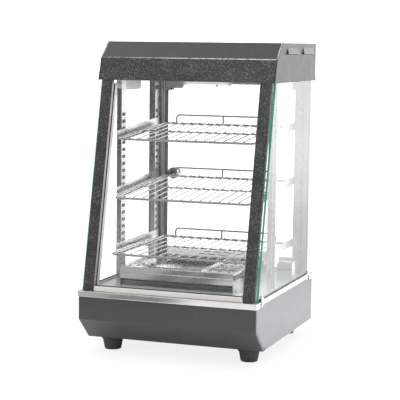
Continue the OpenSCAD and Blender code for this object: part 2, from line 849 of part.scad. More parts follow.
// Cover of the heater box: perforated top, short front lip over a set-back plate, side plates
module heater_lid() {
    hw = heater_half_w;
    t = 1.2;
    hole_d = 9;
    plate_d = 6.3;
    color([0.8, 0.81, 0.8]) difference() {
        union() {
            along_y(heater_front_y, heater_rear_y)
                polygon(bent_sheet([[hw, floor_z], [hw, heater_top_z], [-hw, heater_top_z],
                                    [-hw, floor_z]], t, 2));
            block([-hw + t, heater_front_y, heater_top_z - heater_lip],
                  [hw - t, heater_front_y + t, heater_top_z - t]);
            block([-hw + t, heater_front_y + t, heater_top_z - heater_lip],
                  [hw - t, heater_front_y + plate_d, heater_top_z - heater_lip + 1]);
            block([-hw + t, heater_front_y + plate_d - 1, floor_z],
                  [hw - t, heater_front_y + plate_d, heater_top_z - heater_lip + 1]);
            block([-hw + t, heater_rear_y - t, floor_z], [hw - t, heater_rear_y, heater_top_z - t]);
        }
        block([-pan_half_w, pan_front_y, heater_top_z - 5], [pan_half_w, pan_rear_y, heater_top_z + 1]);
        both_sides() for (i = [0:2], j = [0:6])
            translate([82 + 24 * i, front_y + 90 + 30 * j, heater_top_z])
                cylinder(d = hole_d, h = 8, center = true, $fn = 24);
        both_sides() translate([93, front_y + 296, heater_top_z]) slot_z(26, 8, 8);
        for (d = [337, 380])
            translate([0, front_y + d, heater_top_z]) slot_z(90, 10, 8);
    }
}

// Sheathed element bent into two hairpins; its cold ends go down through the floor
module heating_element() {
    y0 = heater_front_y + 40;
    y1 = heater_rear_y - 30;
    r = 35;
    bend = 12;
    color([0.35, 0.33, 0.32]) {
        for (x = [-100, 100]) {
            wire([x, y0 + r, element_z], [x, y1 - bend, element_z], element_d);
            translate([x, y1 - bend, element_z - bend]) rotate([0, 0, 90]) rotate([90, 0, 0])
                wire_bend(bend, element_d);
            wire([x, y1, deck_z - 22], [x, y1, element_z - bend], element_d);
        }
        for (x = [-30, 30])
            wire([x, y0 + r, element_z], [x, y1 - 80 - 30, element_z], element_d);
        for (s = [-1, 1])
            translate([s * 65, y0 + r, element_z]) for (a = [180, 270])
                rotate([0, 0, a]) wire_bend(r, element_d);
        translate([0, y1 - 110, element_z]) for (a = [0, 90])
            rotate([0, 0, a]) wire_bend(30, element_d);
    }
}

// Lift-out humidity pan: a shallow tray whose rim rests on the lid
module water_pan() {
    rim = 4;
    wall = 1;
    gap = 1;
    x = pan_half_w - gap;
    y0 = pan_front_y + gap;
    y1 = pan_rear_y - gap;
    z0 = heater_top_z - 14;
    color([0.82, 0.83, 0.82]) difference() {
        union() {
            block([-x - rim, y0 - rim, heater_top_z], [x + rim, y1 + rim, heater_top_z + 3]);
            block([-x, y0, z0], [x, y1, heater_top_z]);
        }
        block([-x + wall, y0 + wall, z0 + wall], [x - wall, y1 - wall, heater_top_z + 4]);
        difference() {
            block([-x - rim + wall, y0 - rim + wall, heater_top_z + wall],
                  [x + rim - wall, y1 + rim - wall, heater_top_z + 4]);
            block([-x, y0, heater_top_z - 1], [x, y1, heater_top_z + 5]);
        }
    }
}

// Guard over the thermostat's sensor, with an air slot round its middle
module sensor_cover() {
    x0 = 175;
    x1 = 216;
    y0 = front_y + 345;
    y1 = front_y + 373;
    h = 47;
    outline = [[x0, 0], [x0, h - 9], [x0 + 2.6, h - 2.6], [x0 + 9, h], [x1, h], [x1, 0]];
    color([0.72, 0.74, 0.75]) difference() {
        translate([0, 0, floor_z]) along_y(y0, y1) polygon(outline);
        block([x0 + 1.2, y0 + 1.2, floor_z - 1], [x1 - 1.2, y1 - 1.2, floor_z + h - 10]);
        block([x0 + 3, y0 - 1, floor_z + 26], [x1 + 1, y0 + 3, floor_z + 30]);
    }
}

// ---------------------------------------------------------------- lamp

// Reflector plate under the ceiling with an insulated block at each end
module lamp_holder() {
    y = front_y + 300;
    z = hood_z;
    color([0.85, 0.85, 0.82]) {
        difference() {
            block([-72, y - 16, z], [60, y + 16, z + sheet_t]);
            for (x = [-48, 48])
                translate([x, y, z]) cylinder(d = 4.4, h = 10, center = true);
        }
        for (x = [-70, 52])
            difference() {
                block([x, y - 6, z - 14], [x + 6, y + 6, z]);
                translate([x + 3, y, z - 8]) rotate([0, 90, 0])
                    cylinder(d = 5, h = 10, center = true);
            }
    }
}

module lamp_tube() {
    y = front_y + 300;
    z = hood_z - 8;
    color([0.95, 0.95, 0.9, 0.6]) {
        translate([-64, y, z]) rotate([0, 90, 0]) cylinder(d = 9, h = 116);
        for (x = [-68, 52])
            translate([x, y, z]) rotate([0, 90, 0]) cylinder(d = 4.6, h = 4);
    }
}

// ---------------------------------------------------------------- rear door

module door_glass() {
    color([0.75, 0.9, 0.85, 0.3]) difference() {
        block([-door_half_w, door_y - glass_t / 2, door_bottom_z],
              [door_half_w, door_y + glass_t / 2, door_top_z]);
        translate([knob_x, door_y, knob_z]) rotate([90, 0, 0])
            cylinder(d = 8, h = 20, center = true);
        // notches for the two hinge clamps' pins
        for (z = [door_bottom_z, door_top_z])
            translate([door_axis_x, door_y, z]) cube([12, 20, 24], center = true);
    }
}

// Grey plastic channel pushed on the free edge of the door
module door_edge_strip() {
    width = 8;
    wall = 1.2;
    x0 = -door_half_w - wall - 0.2;
    y = glass_t / 2;
    color([0.55, 0.56, 0.58]) difference() {
        block([x0, door_y - y - wall, door_bottom_z], [x0 + width, door_y + y + wall, door_top_z]);
        block([-door_half_w - 0.1, door_y - y, door_bottom_z - 1],
              [x0 + width + 1, door_y + y, door_top_z + 1]);
    }
}

// Hinge clamps: each grips the glass from both faces and holds a bush for the pin
module door_clamps() {
    x1 = door_axis_x + 7;
    color([0.75, 0.75, 0.76]) for (up = [0, 1]) {
        z0 = up == 0 ? door_bottom_z - 1.5 : door_top_z - clamp_h + 1.5;
        bush_z = up == 0 ? door_bottom_z - 1.5 : door_top_z - 11;
        difference() {
            union() {
                for (y = [door_y - glass_t / 2 - clamp_t, door_y + glass_t / 2])
                    block([x1 - clamp_w, y, z0], [x1, y + clamp_t, z0 + clamp_h]);
                block([door_axis_x - 5.5, door_y - glass_t / 2 - 0.1, bush_z],
                      [door_axis_x + 5.5, door_y + glass_t / 2 + 0.1, bush_z + 12.5]);
            }
            translate([door_axis_x, door_y, z0 - 1]) cylinder(d = pin_d + 0.1, h = clamp_h + 2);
        }
        for (x = [x1 - clamp_w + 9], z = [z0 + clamp_h / 2])
            translate([x, door_y + glass_t / 2 + clamp_t, z]) rotate([-90, 0, 0])
                screw_head(8, 2.2);
    }
}

// Brackets on the frame with the two hinge pins
module hinge_brackets() {
    x0 = door_axis_x - 9;
    x1 = rear_post_in;
    plate = 2.5;
    zb = door_bottom_z - 1.9;
    zt = door_top_z + 1.9;
    color([0.75, 0.75, 0.76]) {
        block([x0, door_y - 5.5, zb - plate], [x1, door_y + 7, zb]);
        translate([door_axis_x, door_y, zb - 0.1]) cylinder(d = pin_d, h = 9);
        block([x0, door_y - 5.5, zt], [x1, door_y + 7, zt + plate]);
        translate([door_axis_x, door_y, zt - 8.9]) cylinder(d = pin_d, h = 9);
    }
}

// Round knob through the glass, with its washer on the inner face
module door_knob() {
    color([0.8, 0.8, 0.8]) translate([knob_x, door_y, knob_z]) rotate([-90, 0, 0]) {
        translate([0, 0, glass_t / 2]) rotate_extrude()
            polygon([[0, 0], [knob_d / 2 - 5, 0], [knob_d / 2 - 6, 7], [knob_d / 2 - 1, 12],
                     [knob_d / 2, 15], [knob_d / 2, 19], [knob_d / 2 - 2, 21], [0, 21]]);
        translate([0, 0, -glass_t / 2 - 1]) cylinder(d = 7.6, h = glass_t + 2);
        translate([0, 0, -glass_t / 2 - 4]) difference() {
            cylinder(d = knob_d, h = 4);
            translate([0, 0, -1]) cylinder(d = knob_d - 7, h = 2.5);
        }
    }
}

// Steel plate on the door that the magnet pulls
module strike_plate() {
    color([0.7, 0.7, 0.7])
        block([-179, door_y - glass_t / 2 - 1.5, hood_z - 33],
              [-161, door_y - glass_t / 2, hood_z - 23]);
}

// Bracket on the top rear rail that holds the magnet
module magnet_catch() {
    color([0.8, 0.8, 0.79]) along_y(door_rail_y - 1.5, door_rail_y)
        polygon([[-180, hood_z - 34], [-180, hood_z - 1], [-128, hood_z - 1],
                 [-128, hood_z - 22], [-134, hood_z - 28], [-167, hood_z - 28],
                 [-167, hood_z - 34]]);
}

// Black magnet block that stops the door
module catch_magnet() {
    color([0.1, 0.1, 0.1])
        block([-180, door_rail_y, hood_z - 34],
              [-167, door_y - glass_t / 2 - 1.7, hood_z - 22]);
}

// Stainless rails across the bottom and top of the door opening
module rear_rails() {
    x = rear_post_in - 0.2;
    y0 = door_rail_y;
    color([0.78, 0.79, 0.8]) {
        along_x(-x, x) polygon(bent_sheet([[y0 + 6, floor_z + 15], [y0, floor_z + 15],
                                           [y0, floor_z]], sheet_t, 2));
        along_x(-x, x) polygon(bent_sheet([[y0, hood_z - 15], [y0, hood_z], [y0 + 6, hood_z]],
                                          -sheet_t, 2));
        block([-36, y0, hood_z - 22], [-30, y0 + sheet_t, hood_z - 14]);
    }
}

// ---------------------------------------------------------------- controls

// Thermostat body behind the rear panel, with its spindle
module thermostat() {
    color([0.7, 0.7, 0.68]) translate([thermostat_x, back_y - sheet_t, control_z])
        rotate([-90, 0, 0]) {
            translate([0, 0, -10.5]) cube([44, 34, 20], center = true);
            translate([0, 0, -2]) cylinder(d = 9.4, h = 3);
            cylinder(d = 6, h = 16);
        }
}

// Control knob: fluted skirt, pointer ridge and a bore for the spindle
module thermostat_knob() {
    color([0.08, 0.08, 0.08]) translate([thermostat_x, back_y + 0.8, control_z])
        rotate([-90, 0, 0]) difference() {
            union() {
                cylinder(d = 44, h = 4);
                translate([0, 0, 4]) difference() {
                    cylinder(d = 33, h = 15);
                    for (i = [0:17])
                        rotate([0, 0, 20 * i]) translate([17.6, 0, -1]) cylinder(d = 4, h = 20);
                }
                translate([-1.5, -15, 18.5]) cube([3, 13, 1.7]);
            }
            translate([0, 0, -1]) cylinder(d = 6.1, h = 17.5);
        }
}

// Frames of the two rocker switches, with their bodies behind the panel
module switch_bodies() {
    hw = rocker_w / 2;
    hh = rocker_h / 2 + 4.9;
    color([0.08, 0.08, 0.08]) for (x = [power_x, light_x])
        translate([x, back_y, control_z]) difference() {
            union() {
                block([-hw - 5, 0, -hh - 4], [hw + 5, 2, hh + 4]);
                block([-hw - 2.4, -22, -hh - 1.5], [hw + 2.4, 0.1, hh + 1.5]);
            }
            block([-hw - 0.4, -9, -hh], [hw + 0.4, 3, hh]);
            translate([0, rocker_pivot_y - back_y, 0]) rotate([0, 90, 0])
                cylinder(d = pivot_d + 0.1, h = rocker_w + 4.2, center = true);
        }
}

// Rocker: a shallow V on a cross pin; at rest, switched off, its lower end is pressed in
module rocker(x) {
    half = rocker_h / 2 + 3.6;
    translate([x, rocker_pivot_y, control_z]) rotate([-rocker_tilt, 0, 0]) {
        along_x(-rocker_w / 2, rocker_w / 2)
            polygon([[-4, -4], [-4, 4], [3.6, half], [5.4, half], [4.2, 0], [5.4, -half],
                     [3.6, -half]]);
        rotate([0, 90, 0]) cylinder(d = pivot_d, h = rocker_w + 3.6, center = true);
    }
}

module power_rocker() {
    color([0.75, 0.1, 0.08]) rocker(power_x);
}

module light_rocker() {
    color([0.1, 0.45, 0.2]) rocker(light_x);
}

module indicator_lamp() {
    color([0.9, 0.5, 0.1]) translate([lamp_x, back_y, control_z]) rotate([-90, 0, 0]) {
        cylinder(d = 15, h = 2);
        translate([0, 0, 1.9]) cylinder(d1 = 11, d2 = 8, h = 4);
        translate([0, 0, -20]) cylinder(d = 11.6, h = 20);
    }
}

// Gland for the supply cable: hexagon collar, threaded neck and domed nut with a bore
module cable_gland() {
    color([0.07, 0.07, 0.07]) translate([gland_x, back_y, gland_z]) rotate([-90, 0, 0])
        difference() {
            union() {
                cylinder(d = 26, h = 6, $fn = 6);
                translate([0, 0, 6]) cylinder(d = 22, h = 7);
                translate([0, 0, 13]) cylinder(d1 = 22, d2 = 16, h = 5);
                translate([0, 0, -14]) cylinder(d = 19.6, h = 14);
                translate([0, 0, -sheet_t - 5]) cylinder(d = 28, h = 5, $fn = 6);
            }
            translate([0, 0, -15]) cylinder(d = 9, h = 40);
        }
}

// Mains terminal block on the bottom plate
module terminal_block() {
    z0 = foot_h + sheet_t;
    color([0.9, 0.9, 0.85]) translate([120, front_y + 400, z0]) difference() {
        union() {
            block([-30, -11, 0], [30, 11, 8]);
            for (i = [-2:2])
                translate([11 * i, 0, 8]) block([-4.6, -10, -0.1], [4.6, 10, 8]);
        }
        for (i = [-2:2], y = [-5, 5])
            translate([11 * i, y, 12]) cylinder(d = 4, h = 5);
    }
}

base_front_panel();
base_side_left();
base_side_right();
base_rear_panel();
base_bottom_plate();
feet();
screws();
front_trim();
rear_trim();
side_trim_left();
side_trim_right();
floor_pan();
front_rail();
front_glass_seal();
front_glass();
front_post_left();
front_post_right();
side_glass_left();
side_glass_right();
side_glass_seals();
rear_post_left();
rear_post_right();
hood_front();
hood_cheek_left();
hood_cheek_right();
hood_top();
hood_rear();
ceiling_panel();
uprights();
upright_brackets();
upper_shelf_supports();
middle_shelf_supports();
lower_shelf_supports();
upper_shelf();
middle_shelf();
lower_shelf();
heater_housing();
heater_lid();
heating_element();
water_pan();
sensor_cover();
lamp_holder();
lamp_tube();
door_glass();
door_edge_strip();
door_clamps();
hinge_brackets();
door_knob();
strike_plate();
magnet_catch();
catch_magnet();
rear_rails();
thermostat();
thermostat_knob();
switch_bodies();
power_rocker();
light_rocker();
indicator_lamp();
cable_gland();
terminal_block();
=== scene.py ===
"""Looks of the hot food display case: camera, studio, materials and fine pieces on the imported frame."""
import json
import math

import bmesh
import bpy
from mathutils import Matrix, Vector
from mathutils.bvhtree import BVHTree


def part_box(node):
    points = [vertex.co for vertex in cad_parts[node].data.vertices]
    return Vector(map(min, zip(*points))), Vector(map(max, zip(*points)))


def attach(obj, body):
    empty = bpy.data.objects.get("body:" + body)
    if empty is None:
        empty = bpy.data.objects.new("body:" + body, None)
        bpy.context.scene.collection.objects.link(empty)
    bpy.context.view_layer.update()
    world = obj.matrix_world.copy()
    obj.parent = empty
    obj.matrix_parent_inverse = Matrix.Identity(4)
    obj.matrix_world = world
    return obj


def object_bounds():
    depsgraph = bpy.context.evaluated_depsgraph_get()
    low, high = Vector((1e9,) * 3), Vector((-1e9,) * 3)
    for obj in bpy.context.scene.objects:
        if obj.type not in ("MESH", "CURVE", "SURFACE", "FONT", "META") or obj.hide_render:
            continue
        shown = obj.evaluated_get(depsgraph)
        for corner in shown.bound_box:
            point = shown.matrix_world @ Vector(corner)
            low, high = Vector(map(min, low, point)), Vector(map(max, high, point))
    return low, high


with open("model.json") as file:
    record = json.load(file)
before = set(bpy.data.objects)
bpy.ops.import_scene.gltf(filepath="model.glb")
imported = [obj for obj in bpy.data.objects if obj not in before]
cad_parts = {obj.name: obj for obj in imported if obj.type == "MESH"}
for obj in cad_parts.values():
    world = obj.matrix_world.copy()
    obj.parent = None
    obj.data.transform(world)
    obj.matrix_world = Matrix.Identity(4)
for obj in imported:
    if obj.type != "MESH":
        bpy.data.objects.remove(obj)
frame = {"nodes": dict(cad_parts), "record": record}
CAD_BOX = [list(corner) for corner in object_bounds()]

MM = 0.001

# Camera: where it stands round the middle of the case, and how it is turned, in degrees and metres
CAMERA_AZIMUTH = 19.77
CAMERA_ELEVATION = 6.32
CAMERA_DISTANCE = 3.471
CAMERA_YAW = 19.876
CAMERA_PITCH = 6.583
CAMERA_ROLL = 0.659
CAMERA_LENS = 121.9

# Brightness of the studio as reflections see it: low in front of the case, high in front, and behind;
# the shares of it that are left beside the band behind, and straight overhead
FRONT_LEVEL = 0.06
RING_LEVEL = 1.5
BACK_LEVEL = 1.5
BACK_SIDE_SHARE = 0.5
OVERHEAD_SHARE = 0.35
# Where it changes, as ranges of a direction's z in front, y behind, x at the band's two borders, and z
# overhead
FRONT_RISE = (0.45, 0.75)
BACK_RISE = (-0.1, 0.5)
BAND_LEFT = (0.1, 0.25)
BAND_RIGHT = (0.42, 0.62)
OVERHEAD_FALL = (0.87, 0.965)
# Even light on matt surfaces, at the horizon and overhead, the range of z in which it changes, and the
# white of the backdrop
EVEN_LOW = 0.9
EVEN_HIGH = 1.35
EVEN_RISE = (-0.1, 0.9)
BACKDROP_LEVEL = 1.8

# How the floor looks to the eye: its white, how far its shadows are lifted towards that white, and how
# much whiter it is for each face of a pane in front of it
FLOOR_WHITE = 1.06
SHADOW_LIFT = 0.78
WHITER_PER_PANE_FACE = 0.25
FLOOR_REACH = 30
# How the floor in front looks in reflections: two dark flags that lie on it (their left and right edges,
# half the width of their soft borders, how much they take from its brightness), and its grey and black
FLOOR_FLAGS = ((-0.475, -0.388), (-0.354, -0.264))
FLAG_BORDER = 0.008
FLAG_DEPTH = 0.33
FLOOR_GREY = 0.42
FLOOR_BLACK = 0.06
# Its soft borders: grey left of this x, plain white behind this y, and grey, then black, in front of these
GREY_LEFT = (-0.27, -0.2)
PATTERN_END = (-0.85, -0.75)
GREY_OUT = (-1.2, -1.12)
BLACK_OUT = (-1.75, -1.45)
# Glow of a strip of floor that runs back from the case's right side, in reflections only: near the case
# and far behind it, the slope (x over y) of its right border, the soft borders of the strip, and the
# ranges of y in which the near glow falls to a quarter and the far glow rises
FLOOR_GLOW = 0.9
FAR_GLOW = 0.9
GLOW_SLOPE = 0.36
GLOW_LEFT = (0.2, 0.32)
GLOW_RIGHT = (0.5, 0.75)
GLOW_FRONT = (-0.3, 0.0)
NEAR_GLOW_FALL = (0.3, 1.3)
FAR_GLOW_RISE = (2.0, 5.5)

# Colours that materials share or that stand for a paint
BLACK_PAINT = (0.045, 0.045, 0.046)
VEIN_PAINT = (0.036, 0.036, 0.036)
# Grey of the base's sides: their dark paint made a lilac grey, as painted sheen for the glare they catch
SIDE_PAINT = (0.27, 0.265, 0.285)
# Dark paint of the hood's cheeks, made a little lighter as painted sheen
CHEEK_PAINT = (0.056, 0.055, 0.056)
STAINLESS = (0.74, 0.745, 0.74)
# Pale grey of the painted highlight along the hood's fold
BARE_METAL = (0.62, 0.62, 0.6)
# Flecks in hammer paint: scale of their pattern, radius in it, and strength; and how many of them are
# left above a fold, where fewer of them are painted shade that darkens the upper facet
LARGE_FLECKS = (430, 0.4, 1.0)
SMALL_FLECKS = (760, 0.45, 0.7)
FLECKS_ABOVE_FOLD = 0.16

# Lean of the front glass and its posts
FRONT_LEAN = math.radians(12.5)
# The hood's fold, as shares of the depth and height of its front sheet
FOLD_DEPTH_SHARE = 0.201
FOLD_HEIGHT_SHARE = 0.583
# Width of the flange by which the front of the hood goes under its top
HOOD_TOP_FLANGE = 20 * MM
BEAD_RADIUS = 1 * MM
# Height of the lip round the heater's lid
HEATER_LIP = 15 * MM
# Rolled hems: their radius, and how far their middle lies inside the box of the lid and of the trim
HEM_RADIUS = 1.1 * MM
LID_HEM_INSET = 0.6 * MM
TRIM_HEM_INSET = 0.8 * MM
# Strips on the front posts: how far short of the top they end, and their rounded edges
STRIP_TOP_GAP = 5 * MM
STRIP_BEVEL = 0.25 * MM

# The scale round the heat knob, in degrees: where it starts, how far each sector reaches, the gap at a
# sector's ends and half a tick's width; and how far the scale stands clear of the knob
DIAL_SECTORS = 10
DIAL_START = 135
DIAL_SECTOR_TURN = 27
DIAL_GAP = 1.5
HALF_TICK = 0.9
DIAL_CLEARANCE = 2 * MM
# Raised marks: how deep they sit in the surface and how proud they stand
MARK_ROOT = -0.05 * MM
DIAL_PROUD = 0.2 * MM
ROCKER_MARK_PROUD = 0.15 * MM
# How far the bar and the ring on a rocker lie above and below its middle, as a share of its height
ROCKER_MARK_SHARE = 0.22


# ------------------------------------------------------------------ shader helpers

class Graph:
    """Short calls that add nodes to a node tree."""

    def __init__(self, tree):
        self.tree = tree
        self.tree.nodes.clear()

    def node(self, kind, **settings):
        node = self.tree.nodes.new(kind)
        for name, value in settings.items():
            setattr(node, name, value)
        return node

    def link(self, source, target):
        self.tree.links.new(source, target)

    def feed(self, target, value):
        """Links a socket, or sets a plain value."""
        if isinstance(value, bpy.types.NodeSocket):
            self.link(value, target)
        else:
            target.default_value = value

    def split(self, vector):
        """The three coordinates of a vector."""
        node = self.node("ShaderNodeSeparateXYZ")
        self.link(vector, node.inputs[0])
        return node.outputs

    def math(self, operation, a, b=0.0):
        node = self.node("ShaderNodeMath", operation=operation)
        self.feed(node.inputs[0], a)
        self.feed(node.inputs[1], b)
        return node.outputs[0]

    def step(self, value, low, high, out_low=0.0, out_high=1.0):
        """Smooth step of value from low to high."""
        node = self.node("ShaderNodeMapRange", interpolation_type="SMOOTHSTEP")
        self.link(value, node.inputs["Value"])
        for name, edge in zip(("From Min", "From Max", "To Min", "To Max"), (low, high, out_low, out_high)):
            node.inputs[name].default_value = edge
        return node.outputs["Result"]

    def blend(self, share, a, b):
        """Mix of two plain values."""
        node = self.node("ShaderNodeMix")
        self.feed(node.inputs["Factor"], share)
        self.feed(node.inputs["A"], a)
        self.feed(node.inputs["B"], b)
        return node.outputs["Result"]


class Shader(Graph):
    """A material with one Principled shader, and short calls that add textures to it."""

    def __init__(self, name):
        self.material = bpy.data.materials.new(name)
        self.material.use_nodes = True
        super().__init__(self.material.node_tree)
        self.output = self.node("ShaderNodeOutputMaterial")
        self.principled = self.node("ShaderNodeBsdfPrincipled")
        self.link(self.principled.outputs[0], self.output.inputs["Surface"])
        self.place = self.node("ShaderNodeTexCoord").outputs["Object"]

    def set(self, **values):
        """Sets Principled inputs by name, with _ for a space."""
        for name, value in values.items():
            self.feed(self.principled.inputs[name.replace("_", " ")], value)
        return self

    def stretched(self, x, y, z):
        """Object coordinates scaled along each axis."""
        node = self.node("ShaderNodeVectorMath", operation="MULTIPLY")
        self.link(self.place, node.inputs[0])
        node.inputs[1].default_value = (x, y, z)
        return node.outputs[0]

    def noise(self, scale, detail=2.0, roughness=0.5, at=None):
        node = self.node("ShaderNodeTexNoise")
        self.link(at or self.place, node.inputs["Vector"])
        node.inputs["Scale"].default_value = scale
        node.inputs["Detail"].default_value = detail
        node.inputs["Roughness"].default_value = roughness
        return node.outputs["Fac"]

    def red(self, colour):
        """The red channel of a colour."""
        node = self.node("ShaderNodeSeparateColor")
        self.link(colour, node.inputs[0])
        return node.outputs[0]

    def warped(self, scale, amount):
        """Object coordinates pushed about by a fine noise."""
        node = self.node("ShaderNodeVectorMath", operation="MULTIPLY_ADD")
        self.link(self.noise(scale, 3), node.inputs[0])
        node.inputs[1].default_value = (amount, amount, amount)
        self.link(self.place, node.inputs[2])
        return node.outputs[0]

    def voronoi(self, scale, at=None, output="Distance"):
        node = self.node("ShaderNodeTexVoronoi")
        self.link(at or self.place, node.inputs["Vector"])
        node.inputs["Scale"].default_value = scale
        return node.outputs[output]

    def mix(self, share, a, b):
        """Colour mix of a and b; each may be a socket or a colour."""
        node = self.node("ShaderNodeMix", data_type="RGBA")
        self.feed(node.inputs["Factor"], share)
        self.feed(node.inputs[6], a if isinstance(a, bpy.types.NodeSocket) else (*a, 1))
        self.feed(node.inputs[7], b if isinstance(b, bpy.types.NodeSocket) else (*b, 1))
        return node.outputs[2]

    def bump(self, height, distance, strength=1.0, normal=None):
        node = self.node("ShaderNodeBump")
        node.inputs["Strength"].default_value = strength
        node.inputs["Distance"].default_value = distance
        self.link(height, node.inputs["Height"])
        if normal is not None:
            self.link(normal, node.inputs["Normal"])
        return node.outputs[0]

    def face_share(self, direction):
        """1 on faces square to direction in the object's own space, 0 on faces along it."""
        turned = self.node("ShaderNodeVectorTransform", vector_type="NORMAL", convert_from="WORLD",
                           convert_to="OBJECT")
        self.link(self.node("ShaderNodeNewGeometry").outputs["True Normal"], turned.inputs[0])
        node = self.node("ShaderNodeVectorMath", operation="DOT_PRODUCT")
        self.link(turned.outputs[0], node.inputs[0])
        node.inputs[1].default_value = direction
        size = self.math("ABSOLUTE", node.outputs["Value"])
        return self.math("GREATER_THAN", size, 0.7)

    def shader(self, kind, **values):
        node = self.node(kind)
        for name, value in values.items():
            self.feed(node.inputs[name.replace("_", " ")], value)
        return node.outputs[0]

    def mix_shader(self, share, a, b):
        node = self.node("ShaderNodeMixShader")
        self.feed(node.inputs[0], share)
        self.link(a, node.inputs[1])
        self.link(b, node.inputs[2])
        return node.outputs[0]


# ------------------------------------------------------------------ materials

def shade(colour, factor):
    """A colour made lighter or darker."""
    return tuple(factor * c for c in colour)


def enamel(name, paint, fleck, density, roughness=0.36, fold=None):
    """Stoved hammer paint: dark, with an orange-peel skin and pale flecks of two sizes scattered in it.

    A fold (y, z) thins the flecks above it, as painted shade on the upper facet, and gets a painted
    highlight along its edge.
    """
    s = Shader(name)
    bent = s.warped(600, 0.0008)
    crowd = s.step(s.noise(24, 3), 0.3, 0.7, density * 0.55, density * 1.5)
    flecks = None
    for scale, radius, strength in (LARGE_FLECKS, SMALL_FLECKS):
        chosen = s.math("LESS_THAN", s.red(s.voronoi(scale, bent, "Color")), crowd)
        spot = s.step(s.voronoi(scale, bent), radius * 0.45, radius, strength, 0.0)
        layer = s.math("MULTIPLY", chosen, spot)
        flecks = layer if flecks is None else s.math("MAXIMUM", flecks, layer)
    # Fewer flecks above the fold: painted shade on the hood's upper facet
    if fold:
        height = s.split(s.place)["Z"]
        share = s.step(height, fold[1], fold[1] + 2 * MM, 1.0, FLECKS_ABOVE_FOLD)
        flecks = s.math("MULTIPLY", flecks, share)
    cloud = s.mix(s.noise(16, 4), shade(paint, 0.92), shade(paint, 1.08))
    colour = s.mix(flecks, cloud, fleck)
    # A painted highlight along the fold, in pale grey
    if fold:
        colour = s.mix(rubbed_fold(s, fold), colour, BARE_METAL)
    skin = s.bump(s.noise(620, 3, 0.6), 0.00008, 0.5)
    skin = s.bump(flecks, 0.0001, 0.6, skin)
    s.set(Base_Color=colour, Roughness=s.step(s.noise(40, 3), 0.3, 0.7, roughness - 0.02, roughness + 0.03),
          Normal=skin, IOR=1.55, Coat_Weight=0.12, Coat_Roughness=0.2, Coat_IOR=1.5)
    return s.material


def rubbed_fold(s, fold):
    """Share of a painted highlight along a fold that runs across the case: a thin broken line, stronger
    towards the right.
    """
    across = s.node("ShaderNodeVectorMath", operation="DISTANCE")
    s.link(s.stretched(0, 1, 1), across.inputs[0])
    across.inputs[1].default_value = (0, *fold)
    line = s.step(across.outputs["Value"], 0.0009, 0.0016, 1.0, 0.0)
    dashes = s.step(s.noise(1, 3, 0.6, s.stretched(170, 30, 30)), 0.36, 0.56, 0.25, 1.0)
    # The painted highlight grows stronger to the right, where the light falls
    towards_right = s.step(s.split(s.place)["X"], -0.24, 0.1, 0.3, 1.0)
    return s.math("MULTIPLY", line, s.math("MULTIPLY", dashes, towards_right))


def steel(name, tint, roughness, along="x", grain=0.000006, smudge=0.06, metallic=1.0):
    """Stainless sheet with a rolled grain along one axis and faint smudges."""
    s = Shader(name)
    scale = {"x": (9, 900, 900), "y": (900, 9, 900), "z": (900, 900, 9)}[along]
    lines = s.noise(1, 3, 0.65, s.stretched(*scale))
    fine = s.noise(1, 2, 0.5, s.stretched(*[v * 2.7 for v in scale]))
    clouds = s.noise(14, 4, 0.6)
    worn = s.math("ADD", s.step(clouds, 0.35, 0.7, roughness - smudge / 2, roughness + smudge),
                  s.math("MULTIPLY", lines, 0.08))
    colour = s.mix(s.step(lines, 0.3, 0.7), shade(tint, 0.93), tint)
    s.set(Base_Color=colour, Metallic=metallic, Roughness=worn,
          Normal=s.bump(s.math("ADD", lines, fine), grain, 0.6))
    return s.material


def dull_steel(name, tint):
    """Stainless with a pickled, nearly matt skin and wiped streaks."""
    s = Shader(name)
    streaks = s.noise(1, 3, 0.6, s.stretched(10, 160, 160))
    colour = s.mix(s.step(streaks, 0.3, 0.7), shade(tint, 0.9), tint)
    s.set(Base_Color=colour, Metallic=0.55, Roughness=s.step(s.noise(18, 4), 0.3, 0.7, 0.34, 0.46),
          Normal=s.bump(s.noise(500, 3), 0.00002, 0.5))
    return s.material


def plated(name, tint, roughness, metallic=1.0):
    """Bright plating on wire and turned parts, with a faint drawn ripple."""
    s = Shader(name)
    ripple = s.noise(260, 2)
    pits = s.step(s.voronoi(420), 0.05, 0.16, 0, 1)
    colour = s.mix(s.noise(35, 3), shade(tint, 0.9), tint)
    s.set(Base_Color=colour, Metallic=metallic,
          Roughness=s.step(s.noise(60, 3), 0.3, 0.7, roughness, roughness + 0.07),
          Normal=s.bump(pits, 0.000004, 0.5, s.bump(ripple, 0.00001, 0.5)))
    return s.material


def zinc(name, tint):
    """Galvanised sheet: flat spangles, each a little lighter or darker than the next."""
    s = Shader(name)
    share = s.red(s.voronoi(120, output="Color"))
    colour = s.mix(share, shade(tint, 0.72), tint)
    s.set(Base_Color=colour, Metallic=1.0, Roughness=s.step(share, 0, 1, 0.34, 0.5),
          Normal=s.bump(s.noise(300, 3), 0.00006, 0.5))
    return s.material


def rubber(name, tint, roughness=0.62):
    """Moulded rubber with a fine matt tooth and a little dust."""
    s = Shader(name)
    dust = s.step(s.noise(45, 5, 0.65), 0.52, 0.78)
    colour = s.mix(s.math("MULTIPLY", dust, 0.35), tint, (0.11, 0.11, 0.105))
    s.set(Base_Color=colour, Roughness=s.step(s.noise(30, 3), 0.3, 0.7, roughness - 0.08, roughness + 0.1),
          Normal=s.bump(s.noise(900, 3, 0.7), 0.0001, 0.6), IOR=1.5)
    return s.material


def plastic(name, tint, roughness=0.35, glow=0.0):
    """Moulded plastic with a spark-eroded skin."""
    s = Shader(name)
    colour = s.mix(s.noise(25, 3), shade(tint, 0.9), tint)
    s.set(Base_Color=colour, Roughness=s.step(s.noise(55, 3), 0.3, 0.7, roughness - 0.04, roughness + 0.06),
          Normal=s.bump(s.noise(1400, 2, 0.6), 0.00006, 0.5), IOR=1.49)
    if glow:
        s.set(Emission_Color=(*tint, 1), Emission_Strength=glow, Subsurface_Weight=0.2,
              Subsurface_Scale=0.003)
    return s.material


